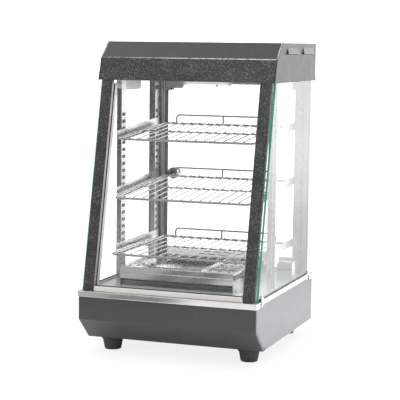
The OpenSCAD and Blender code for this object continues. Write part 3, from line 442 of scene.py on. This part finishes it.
def pane(name, across, ior=1.6):
    """Float glass: clear on its two faces, green where the light runs along it to the edge, where it also
    has a painted glow.
    """
    s = Shader(name)
    broad = s.face_share(across)
    inside = s.node("ShaderNodeNewGeometry").outputs["Backfacing"]
    outside = s.math("SUBTRACT", 1.0, inside)
    smears = s.step(s.noise(6, 5, 0.6), 0.45, 0.8, 0.0, 0.05)
    clear = s.shader("ShaderNodeBsdfTransparent", Color=(0.992, 0.998, 0.996, 1))
    mirror = s.shader("ShaderNodeBsdfGlossy", Color=(1, 1, 1, 1), Roughness=s.math("ADD", smears, 0.01))
    fresnel = s.node("ShaderNodeFresnel")
    fresnel.inputs["IOR"].default_value = ior
    face = s.mix_shader(s.math("MULTIPLY", fresnel.outputs[0], outside), clear, mirror)
    glow = s.step(s.noise(11, 3), 0.3, 0.7)
    colour = s.mix(glow, (0.035, 0.24, 0.155), (0.06, 0.36, 0.24))
    # The green edge glows a little: a painted glow for the light piped along the glass
    s.set(Base_Color=colour, Roughness=0.22, IOR=1.5, Emission_Color=(0.04, 0.3, 0.19, 1),
          Emission_Strength=0.25, Normal=s.bump(s.noise(500, 2), 0.00008, 0.5))
    see_through = s.math("MAXIMUM", broad, inside)
    s.link(s.mix_shader(see_through, s.principled.outputs[0], face), s.output.inputs["Surface"])
    return s.material


def lamp_glass(name):
    """Frosted tube with a faint warm glow."""
    s = Shader(name)
    s.set(Base_Color=s.mix(s.noise(60, 2), (0.86, 0.86, 0.82), (0.93, 0.93, 0.9)), Roughness=0.3,
          Emission_Color=(1, 0.96, 0.88, 1), Emission_Strength=0.15,
          Normal=s.bump(s.noise(700, 2), 0.00003, 0.5))
    return s.material


def element_steel(name):
    """Sheath of the heating element: dark oxide with straw and blue heat colours."""
    s = Shader(name)
    heat = s.noise(28, 4, 0.6)
    colour = s.mix(s.step(heat, 0.4, 0.6), (0.14, 0.105, 0.08), (0.09, 0.095, 0.115))
    s.set(Base_Color=colour, Metallic=0.85, Roughness=s.step(heat, 0.3, 0.7, 0.38, 0.6),
          Normal=s.bump(s.noise(500, 3), 0.00008, 0.5))
    return s.material


def hood_fold():
    """Place (y, z) of the fold across the front of the hood, from the size of the CAD node."""
    low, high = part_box("hood_front")
    return low[1] + FOLD_DEPTH_SHARE * (high[1] - low[1]), low[2] + FOLD_HEIGHT_SHARE * (high[2] - low[2])


def build_materials():
    """One material for each slot of the record."""
    return {
        "dark_enamel": enamel("dark enamel", BLACK_PAINT, (0.09, 0.09, 0.09), 0.2),
        # The hood's front: a painted highlight along its fold, and painted shade on its upper facet
        "vein_enamel": enamel("vein enamel", VEIN_PAINT, (0.36, 0.36, 0.355), 0.24, fold=hood_fold()),
        # The base's sides: the dark paint made grey as painted sheen
        "grey_enamel": enamel("side enamel with painted sheen", SIDE_PAINT, (0.33, 0.325, 0.345), 0.2, 0.42),
        "galvanised": zinc("galvanised sheet", (0.6, 0.61, 0.62)),
        "foot_rubber": rubber("foot rubber", (0.052, 0.052, 0.053)),
        "screw_steel": plated("screw steel", (0.66, 0.66, 0.66), 0.2),
        "polished_steel": steel("polished steel", (0.8, 0.8, 0.79), 0.09, "x", 0.000002, 0.03),
        "bright_steel": steel("bright steel", STAINLESS, 0.22, "x"),
        "ivory_steel": steel("ivory steel", (0.8, 0.79, 0.745), 0.34, "x", metallic=0.3),
        "satin_steel": steel("satin steel", STAINLESS, 0.3, "z"),
        "shelf_steel": steel("shelf steel", (0.76, 0.76, 0.75), 0.24, "z"),
        "wire_chrome": plated("wire chrome", (0.55, 0.542, 0.5), 0.22, 0.9),
        "pan_steel": steel("pan steel", (0.78, 0.78, 0.77), 0.2, "y"),
        "element_steel": element_steel("element steel"),
        "seal_rubber": rubber("seal rubber", (0.02, 0.022, 0.022), 0.45),
        "clear_glass": pane("side glass", (1, 0, 0), 2.0),
        "lamp_glass": lamp_glass("lamp glass"),
        "white_enamel": plastic("white enamel", (0.8, 0.8, 0.77), 0.3),
        "knob_chrome": plated("knob chrome", (0.8, 0.8, 0.79), 0.12),
        "knob_plastic": plastic("knob plastic", (0.022, 0.022, 0.023), 0.32),
        "switch_plastic": plastic("switch plastic", (0.024, 0.024, 0.025), 0.4),
        "switch_plastic_pale": plastic("pale plastic", (0.7, 0.69, 0.63), 0.5),
        "rocker_red": plastic("red rocker", (0.5, 0.02, 0.015), 0.25, 0.08),
        "rocker_green": plastic("green rocker", (0.015, 0.26, 0.07), 0.25, 0.08),
        "lens_amber": plastic("amber lens", (0.85, 0.28, 0.02), 0.15, 0.25),
        "edge_plastic": plastic("edge strip plastic", (0.27, 0.27, 0.29), 0.4),
        "gland_plastic": plastic("gland plastic", (0.025, 0.025, 0.026), 0.5),
        "hem": steel("hem steel", (0.86, 0.86, 0.83), 0.24, "x", 0.000002, 0.03, 0.6),
        # Lilac-grey steel for the strips on the front posts: painted sheen for glare on their dark paint
        "post_sheen": steel("post sheen steel", (0.42, 0.415, 0.44), 0.35, "z", metallic=0.4),
    }


def finish_cad_nodes(materials):
    """Gives each CAD node the material of its slot, or one of its own where it differs from its slot."""
    lean = (0, -math.cos(FRONT_LEAN), math.sin(FRONT_LEAN))
    # The hood's cheeks: the dark paint with painted sheen, lighter and with paler flecks
    cheek = enamel("cheek enamel with painted sheen", CHEEK_PAINT, (0.2, 0.2, 0.2), 0.2, 0.42)
    own = {
        "front_glass": pane("front glass", lean),
        "door_glass": pane("door glass", (0, 1, 0)),
        "floor_pan": dull_steel("floor pan", (0.72, 0.745, 0.76)),
        "side_trim_left": materials["ivory_steel"],
        "side_trim_right": materials["ivory_steel"],
        "heater_lid": steel("heater lid steel", (0.84, 0.84, 0.83), 0.05, "x", 0.0000005, 0.02),
        "hood_cheek_left": cheek,
        "hood_cheek_right": cheek,
    }
    for part in frame["record"]["subparts"]:
        node = frame["nodes"][part["node"]]
        material = own.get(part["node"]) or materials[part["material_slot"]]
        node.data.materials.clear()
        node.data.materials.append(material)


# ------------------------------------------------------------------ fine mesh pieces

def add_piece(name, shape, material, body="cabinet", bevel=0.0):
    """Makes a bmesh into a piece that rides on a body."""
    bmesh.ops.recalc_face_normals(shape, faces=shape.faces)
    mesh = bpy.data.meshes.new(name)
    shape.to_mesh(mesh)
    shape.free()
    mesh.materials.append(material)
    piece = bpy.data.objects.new(name, mesh)
    bpy.context.scene.collection.objects.link(piece)
    if bevel:
        rounding = piece.modifiers.new("rounding", "BEVEL")
        rounding.width = bevel
        rounding.segments = 2
        rounding.limit_method = "ANGLE"
    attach(piece, body)
    return piece


def add_prism(shape, outline, low, high, turn=Matrix.Identity(4)):
    """Adds an upright prism on a flat outline of (x, y) points, between two heights, moved by turn."""
    rings = [[shape.verts.new(turn @ Vector((x, y, z))) for x, y in outline] for z in (low, high)]
    shape.faces.new(rings[0][::-1])
    shape.faces.new(rings[1])
    for i in range(len(outline)):
        j = (i + 1) % len(outline)
        shape.faces.new((rings[0][i], rings[0][j], rings[1][j], rings[1][i]))


def add_tube(shape, path, radius, sides=12):
    """Adds a round bar along a path of points, mitred at the turns and closed at its ends."""
    points = [Vector(point) for point in path]
    rings = []
    for i, point in enumerate(points):
        before = (point - points[i - 1]).normalized() if i else None
        after = (points[i + 1] - point).normalized() if i + 1 < len(points) else None
        along = ((before or after) + (after or before)).normalized()
        stretch = 1.0 / max(0.5, along.dot(after or before))
        side = side - along * side.dot(along) if rings else along.orthogonal()
        side.normalize()
        other = along.cross(side)
        ring = []
        for k in range(sides):
            angle = 2 * math.pi * k / sides
            offset = side * math.cos(angle) + other * math.sin(angle)
            if before and after and (before - after).length > 0.01:
                inwards = (after - before).normalized()
                offset += inwards * offset.dot(inwards) * (stretch - 1.0)
            ring.append(shape.verts.new(point + offset * radius))
        rings.append(ring)
    for first, second in zip(rings, rings[1:]):
        for k in range(sides):
            j = (k + 1) % sides
            wall = shape.faces.new((first[k], first[j], second[j], second[k]))
            wall.smooth = True
    shape.faces.new(rings[0][::-1])
    shape.faces.new(rings[-1])


def add_hem(shape, left, right, front, back, height):
    """Adds a rolled hem that runs along a sheet's left, front and right edges."""
    corners = ((left, back), (left, front), (right, front), (right, back))
    add_tube(shape, [(x, y, height) for x, y in corners], HEM_RADIUS)


def build_hems(materials):
    """Rolled hems that catch the light: round the heater lid's lip and along the front trim."""
    low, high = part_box("heater_lid")
    inset = LID_HEM_INSET
    shape = bmesh.new()
    for height in (high[2] - inset, high[2] - HEATER_LIP + inset):
        add_hem(shape, low[0] + inset, high[0] - inset, low[1] + inset, high[1] - inset, height)
    add_piece("heater_lid_hems", shape, materials["hem"])
    low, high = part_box("front_trim")
    inset = TRIM_HEM_INSET
    shape = bmesh.new()
    for height in (low[2] + inset, high[2] - inset):
        add_hem(shape, low[0] + inset, high[0] - inset, low[1] + inset, high[1], height)
    add_piece("front_trim_hems", shape, materials["hem"])


def build_hood_beads(materials):
    """Bright beads in the joint between the hood's front sheet and its cheeks, above the fold."""
    low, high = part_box("hood_front")
    fold_y, fold_z = hood_fold()
    top_y = high[1] - HOOD_TOP_FLANGE - BEAD_RADIUS / 2
    shape = bmesh.new()
    for x in (low[0] - BEAD_RADIUS, high[0] + BEAD_RADIUS):
        bead = [(x, fold_y, fold_z + BEAD_RADIUS), (x, top_y, high[2] - BEAD_RADIUS)]
        add_tube(shape, bead, BEAD_RADIUS)
    add_piece("hood_beads", shape, materials["hem"])


def rectangle(left, front, right, back):
    """Outline of a rectangle."""
    return [(left, front), (right, front), (right, back), (left, back)]


def build_glazing_beads(materials):
    """Slim strips up the inner sides of both front posts: a lilac-grey strip that is painted sheen for the
    glare on the dark post, a rubber behind it, and a bright angle.

    Each outline is seen along the right post, in millimetres: outwards from the post's inner edge, and
    back from its front face. After it come the strip's material, its slot, and its start above the foot.
    """
    low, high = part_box("front_post_right")
    inner_edge, front, foot = low
    length = (high[2] - foot) / math.cos(FRONT_LEAN)
    turn = Matrix.Translation((0, front, foot)) @ Matrix.Rotation(-FRONT_LEAN, 4, "X")
    angle = [(-1.3, 17.9), (-0.1, 17.9), (-0.1, 30), (13, 30), (13, 31.2), (-1.3, 31.2)]
    strips = {
        # The grey strip is painted sheen: glare on the dark post's inner side
        "post_sheen_strip": (rectangle(-0.9, 0.7, -0.1, 10.6), "post_sheen", "satin_steel", 3.5),
        "glazing_rubber": (rectangle(-0.5, 16.7, 15, 17.7), "seal_rubber", "seal_rubber", 5),
        "glazing_angle": (angle, "ivory_steel", "ivory_steel", 8),
    }
    for name, (outline, material, slot, start) in strips.items():
        for side, mirror in (("right", 1), ("left", -1)):
            shape = bmesh.new()
            plan = [(mirror * (inner_edge + x * MM), y * MM) for x, y in outline]
            add_prism(shape, plan, start * MM, length - STRIP_TOP_GAP, turn)
            add_piece(f"{name}_{side}", shape, materials[material], bevel=STRIP_BEVEL)


def arc(radius, width, start, end, steps):
    """Outline of a flat band round the origin, between two angles in degrees."""
    angles = [math.radians(start + (end - start) * i / steps) for i in range(steps + 1)]
    outer = [((radius + width) * math.cos(a), (radius + width) * math.sin(a)) for a in angles]
    inner = [(radius * math.cos(a), radius * math.sin(a)) for a in reversed(angles)]
    return outer + inner


def build_dial_scale(materials):
    """Raised scale on the rear panel round the heat knob: an arc that widens, and a tick at each step."""
    low, high = (Vector(corner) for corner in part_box("thermostat_knob"))
    panel_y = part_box("base_rear_panel")[1][1]
    radius = (high.x - low.x) / 2 + DIAL_CLEARANCE
    middle = Vector(((low.x + high.x) / 2, panel_y, (low.z + high.z) / 2))
    turn = Matrix.Translation(middle) @ Matrix.Rotation(-math.pi / 2, 4, "X")
    shape = bmesh.new()
    for i in range(DIAL_SECTORS):
        start = DIAL_START + DIAL_SECTOR_TURN * i + DIAL_GAP
        end = DIAL_START + DIAL_SECTOR_TURN * (i + 1) - DIAL_GAP
        width = (0.4 + 0.12 * i) * MM
        add_prism(shape, arc(radius, width, start, end, 6), MARK_ROOT, DIAL_PROUD, turn)
    for i in range(DIAL_SECTORS + 1):
        angle = DIAL_START + DIAL_SECTOR_TURN * i
        length = (4.4 if i % 5 == 0 else 3.2) * MM
        tick = arc(radius - 0.4 * MM, length, angle - HALF_TICK, angle + HALF_TICK, 1)
        add_prism(shape, tick, MARK_ROOT, DIAL_PROUD, turn)
    add_piece("dial_scale", shape, materials["switch_plastic_pale"])


def build_rocker_marks(materials):
    """Raised bar and ring on the two halves of each rocker."""
    bar = rectangle(-0.5 * MM, -1.9 * MM, 0.5 * MM, 1.9 * MM)
    ring = [arc(1.3 * MM, 0.8 * MM, angle, angle + 30, 1) for angle in range(0, 360, 30)]
    across = Vector((1, 0, 0))
    for node, body in (("power_rocker", "power_button"), ("light_rocker", "light_button")):
        low, high = (Vector(corner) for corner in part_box(node))
        copy = bmesh.new()
        copy.from_mesh(frame["nodes"][node].data)
        surface = BVHTree.FromBMesh(copy)
        copy.free()
        shape = bmesh.new()
        for share, outlines in ((ROCKER_MARK_SHARE, [bar]), (-ROCKER_MARK_SHARE, ring)):
            height = (low.z + high.z) / 2 + share * (high.z - low.z)
            behind = Vector(((low.x + high.x) / 2, high.y + 10 * MM, height))
            spot, normal, _, _ = surface.ray_cast(behind, Vector((0, -1, 0)))
            turn = Matrix((across, normal.cross(across), normal)).transposed().to_4x4()
            for outline in outlines:
                add_prism(shape, outline, MARK_ROOT, ROCKER_MARK_PROUD, Matrix.Translation(spot) @ turn)
        add_piece(f"{node}_marks", shape, materials["white_enamel"], body)


# ------------------------------------------------------------------ studio

def place_camera():
    """Puts the camera round the middle of the case, and turns it by its own yaw, pitch and roll."""
    low, high = (Vector(corner) for corner in CAD_BOX)
    middle = (low + high) / 2
    azimuth, elevation = math.radians(CAMERA_AZIMUTH), math.radians(CAMERA_ELEVATION)
    back = Vector((math.sin(azimuth) * math.cos(elevation), -math.cos(azimuth) * math.cos(elevation),
                   math.sin(elevation)))
    yaw, pitch, roll = (math.radians(v) for v in (CAMERA_YAW, CAMERA_PITCH, CAMERA_ROLL))
    ahead = Vector((-math.sin(yaw) * math.cos(pitch), math.cos(yaw) * math.cos(pitch), -math.sin(pitch)))
    right = Vector((math.cos(yaw), math.sin(yaw), 0))
    up = right.cross(ahead)
    right, up = (math.cos(roll) * right + math.sin(roll) * up, math.cos(roll) * up - math.sin(roll) * right)
    camera = bpy.data.objects.new("camera", bpy.data.cameras.new("camera"))
    bpy.context.scene.collection.objects.link(camera)
    camera.data.lens = CAMERA_LENS
    turn = Matrix((right, up, -ahead)).transposed().to_4x4()
    camera.matrix_world = Matrix.Translation(middle + back * CAMERA_DISTANCE) @ turn
    camera.data.clip_start, camera.data.clip_end = 0.05, 200
    bpy.context.scene.camera = camera


def softbox(name, place, target, width, height, power):
    """A white area light that faces a point."""
    light = bpy.data.lights.new(name, "AREA")
    light.shape = "RECTANGLE"
    light.size, light.size_y = width, height
    light.energy = power
    lamp = bpy.data.objects.new(name, light)
    bpy.context.scene.collection.objects.link(lamp)
    lamp.location = place
    lamp.rotation_mode = "QUATERNION"
    lamp.rotation_quaternion = (Vector(place) - Vector(target)).to_track_quat("Z", "Y")
    lamp.visible_camera = False


def build_world():
    """White backdrop to the eye, even light on matt surfaces, and a lit studio in reflections.

    The reflected studio is dark low in front, white in a band behind the case to the right, grey beside
    that band, and dim straight overhead.
    """
    world = bpy.data.worlds.new("studio")
    bpy.context.scene.world = world
    world.use_nodes = True
    g = Graph(world.node_tree)
    x, y, z = g.split(g.node("ShaderNodeTexCoord").outputs["Generated"])
    front = g.step(z, *FRONT_RISE, FRONT_LEVEL, RING_LEVEL)
    behind = g.step(y, *BACK_RISE, 0.0, BACK_LEVEL)
    behind = g.math("MULTIPLY", behind, g.step(x, *BAND_LEFT, BACK_SIDE_SHARE, 1.0))
    behind = g.math("MULTIPLY", behind, g.step(x, *BAND_RIGHT, 1.0, BACK_SIDE_SHARE))
    studio = g.math("MAXIMUM", front, behind)
    studio = g.math("MULTIPLY", studio, g.step(z, *OVERHEAD_FALL, 1.0, OVERHEAD_SHARE))
    even = g.step(z, *EVEN_RISE, EVEN_LOW, EVEN_HIGH)
    path = g.node("ShaderNodeLightPath")
    level = g.blend(path.outputs["Is Glossy Ray"], even, studio)
    level = g.blend(path.outputs["Is Camera Ray"], level, BACKDROP_LEVEL)
    background = g.node("ShaderNodeBackground")
    background.inputs["Color"].default_value = (1, 1, 1, 1)
    g.link(level, background.inputs["Strength"])
    g.link(background.outputs[0], g.node("ShaderNodeOutputWorld").inputs["Surface"])


def mirrored_floor(s, x, y):
    """How light the case's polished parts mirror the floor.

    It is greyer to the left in front, with two dark flags lying there, grey further out in front, and
    nearly black far out.
    """
    level = s.step(x, *GREY_LEFT, FLOOR_GREY, 1.0)
    for left, right in FLOOR_FLAGS:
        flag = s.math("MULTIPLY", s.step(x, left - FLAG_BORDER, left + FLAG_BORDER),
                      s.step(x, right - FLAG_BORDER, right + FLAG_BORDER, 1.0, 0.0))
        level = s.math("SUBTRACT", level, s.math("MULTIPLY", flag, FLAG_DEPTH))
    level = s.math("MAXIMUM", level, s.step(y, *PATTERN_END))
    level = s.math("MINIMUM", level, s.step(y, *GREY_OUT, FLOOR_GREY, 1.0))
    return s.math("MINIMUM", level, s.step(y, *BLACK_OUT, FLOOR_BLACK, 1.0))


def mirrored_glow(s, x, y):
    """How strongly the floor glows in reflections, in a strip that runs back from the case's right side."""
    glow = s.math("MULTIPLY", s.step(x, *GLOW_LEFT), s.step(y, *GLOW_FRONT))
    near = s.step(y, *NEAR_GLOW_FALL, FLOOR_GLOW, FLOOR_GLOW / 4)
    glow = s.math("MULTIPLY", glow, s.math("ADD", near, s.step(y, *FAR_GLOW_RISE, 0.0, FAR_GLOW)))
    aside = s.math("SUBTRACT", x, s.math("MULTIPLY", y, GLOW_SLOPE))
    return s.math("MULTIPLY", glow, s.step(aside, *GLOW_RIGHT, 1.0, 0.0))


def build_floor():
    """A wide pale floor: white to the eye but for a faint shadow, and patterned in reflections only."""
    corners = rectangle(-FLOOR_REACH, -FLOOR_REACH, FLOOR_REACH, FLOOR_REACH)
    mesh = bpy.data.meshes.new("floor")
    mesh.from_pydata([(x, y, 0) for x, y in corners], [], [(0, 1, 2, 3)])
    floor = bpy.data.objects.new("floor", mesh)
    bpy.context.scene.collection.objects.link(floor)
    s = Shader("floor")
    x, y, _ = s.split(s.place)
    path = s.node("ShaderNodeLightPath").outputs
    pale = s.mix(s.noise(0.7, 2), (0.9, 0.9, 0.9), (0.93, 0.93, 0.93))
    darkness = s.math("SUBTRACT", 1.0, mirrored_floor(s, x, y))
    colour = s.mix(s.math("MULTIPLY", darkness, path["Is Glossy Ray"]), pale, (0.0, 0.0, 0.005))
    s.set(Base_Color=colour, Roughness=0.7, Emission_Color=(0.97, 0.96, 1.0, 1),
          Emission_Strength=s.math("MULTIPLY", mirrored_glow(s, x, y), path["Is Glossy Ray"]))
    whiter = s.math("MULTIPLY", path["Transparent Depth"], WHITER_PER_PANE_FACE)
    strength = s.math("MINIMUM", s.math("ADD", whiter, FLOOR_WHITE), BACKDROP_LEVEL)
    white = s.shader("ShaderNodeEmission", Color=(1, 1, 1, 1), Strength=strength)
    seen = s.math("MULTIPLY", path["Is Camera Ray"], SHADOW_LIFT)
    s.link(s.mix_shader(seen, s.principled.outputs[0], white), s.output.inputs["Surface"])
    mesh.materials.append(s.material)


def build_studio():
    """World, floor, two soft lights and the look of the picture."""
    build_world()
    build_floor()
    softbox("front top softbox", (0.3, -2.2, 2.6), (0, 0, 0.5), width=1.6, height=0.7, power=8)
    softbox("back right softbox", (1.7, 3.8, 1.2), (0.2, 0, 0.7), width=1.6, height=0.6, power=10)
    bpy.context.scene.view_settings.view_transform = "Standard"
    bpy.context.scene.view_settings.look = "None"
    bpy.context.scene.cycles.denoising_prefilter = "NONE"


# ------------------------------------------------------------------ run

materials = build_materials()
finish_cad_nodes(materials)
build_hems(materials)
build_hood_beads(materials)
build_glazing_beads(materials)
build_dial_scale(materials)
build_rocker_marks(materials)
place_camera()
build_studio()
